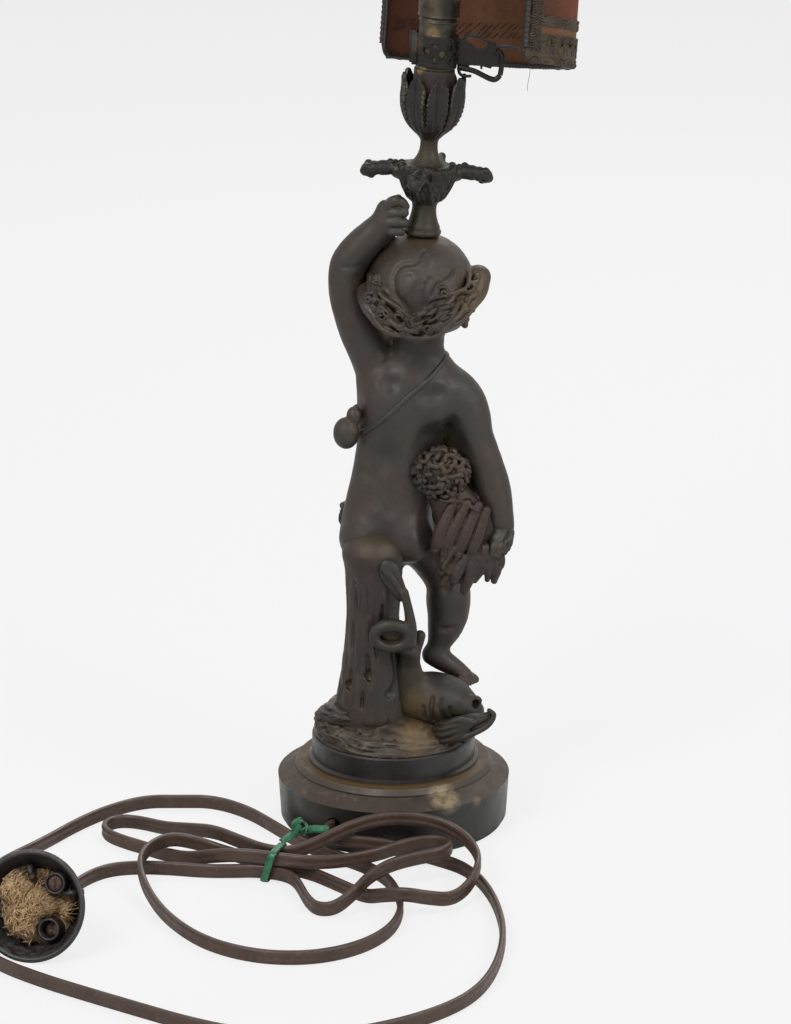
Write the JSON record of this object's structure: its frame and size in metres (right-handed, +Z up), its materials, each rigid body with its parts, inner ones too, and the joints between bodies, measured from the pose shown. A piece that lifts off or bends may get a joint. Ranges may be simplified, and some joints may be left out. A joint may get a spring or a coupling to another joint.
{
  "type": "figural table lamp",
  "caption": "Table lamp: cast figure of a child holding a candle column on its head, tree stump and dolphin, round plinth, bayonet lampholder, clip-on half shade, flat cord with plug.",
  "frame": {"origin": "middle of the plinth's underside, on the resting plane", "axes": "+Z up; the figure faces +Y, so its back is seen from -Y; +X is the side the column leans to"},
  "size_m": [0.3137, 0.3697, 0.513],
  "materials": {
    "felt": "thin dark baize",
    "plinth_wood": "black lacquered turned wood, brown where the lacquer is rubbed",
    "steel": "plain turned steel",
    "gilt_spelter": "cast spelter with a worn gilt and brown patina",
    "candle_card": "brown pressed card sleeve",
    "lampholder_brass": "tarnished brass",
    "porcelain": "glazed white insulator",
    "bulb_glass": "clear glass envelope",
    "clip_brass": "stamped sheet brass, browned",
    "frame_wire": "browned brass wire",
    "shade_cloth": "reddish brown silk over card, faded",
    "shade_lace": "grey green scalloped lace",
    "shade_braid": "woven edge braid",
    "bakelite": "moulded phenolic, dulled",
    "plug_brass": "dull brass",
    "fibre_packing": "teased jute fibre",
    "green_tie": "soft green plastic tie",
    "cord_cover": "flat brown twin flex"
  },
  "bodies": {
    "root": {"base_nut": "steel", "base_screws": "steel", "base_washer": "steel", "bent_leg": "gilt_spelter", "candle_tube": "candle_card", "centre_tube": "steel", "column_foot": "gilt_spelter", "cord_hank": "cord_cover", "cord_lead": "cord_cover", "dolphin_body": "gilt_spelter", "dolphin_leaf": "gilt_spelter", "dolphin_tail": "gilt_spelter", "drip_pan": "gilt_spelter", "felt_pad": "felt", "figure_head": "gilt_spelter", "figure_torso": "gilt_spelter", "gourd_flask": "gilt_spelter", "ground_casting": "gilt_spelter", "hair": "gilt_spelter", "holder_barrel": "lampholder_brass", "holder_cup": "lampholder_brass", "holder_insulator": "porcelain", "inner_lead": "cord_cover", "leaf_cup": "gilt_spelter", "loin_drape": "gilt_spelter", "lowered_arm": "gilt_spelter", "plinth_drum": "plinth_wood", "plinth_foot": "plinth_wood", "plug_body": "bakelite", "plug_packing": "fibre_packing", "plug_pins": "plug_brass", "plug_terminals": "plug_brass", "raised_arm": "gilt_spelter", "shade_ring": "lampholder_brass", "sheaf_ears": "gilt_spelter", "sheaf_stalks": "gilt_spelter", "shoulder_strap": "gilt_spelter", "standing_leg": "gilt_spelter", "top_nut": "lampholder_brass", "tree_stump": "gilt_spelter", "twist_tie": "green_tie"},
    "shade_clip": {"clip_band": "clip_brass", "clip_bracket": "clip_brass", "clip_hook": "clip_brass", "pivot_rivet": "clip_brass"},
    "shade": {"shade_frame": "frame_wire", "carrier_wire": "frame_wire", "shade_panel": "shade_cloth", "shade_lace": "shade_lace", "edge_braid": "shade_braid"},
    "bulb": {"bulb_cap": "lampholder_brass", "bulb_glass": "bulb_glass"},
    "plungers": {"contact_plungers": "lampholder_brass"}
  },
  "joints": [
    {"name": "shade_swivel", "type": "hinge", "parent": "root", "child": "shade_clip", "pos_m": [0.02096, 0, 0.40347], "axis": [0.0715, 0, 0.9974], "continuous": true},
    {"name": "shade_tilt", "type": "hinge", "parent": "shade_clip", "child": "shade", "pos_m": [0.04812, -0.0018, 0.40483], "axis": [0, 1, 0], "range_deg": [-8, 10]},
    {"name": "bulb_press", "type": "slide", "parent": "root", "child": "bulb", "axis": [-0.0715, 0, -0.9974], "range_m": [0, 0.0025], "stiffness_N_per_m": 500, "springref_m": -0.004},
    {"name": "plunger_travel", "type": "slide", "parent": "root", "child": "plungers", "axis": [-0.0715, 0, -0.9974], "range_m": [0, 0.0025]}
  ],
  "couplings": [
    {"joint": "plunger_travel", "follows": "bulb_press", "ratio": 1}
  ]
}
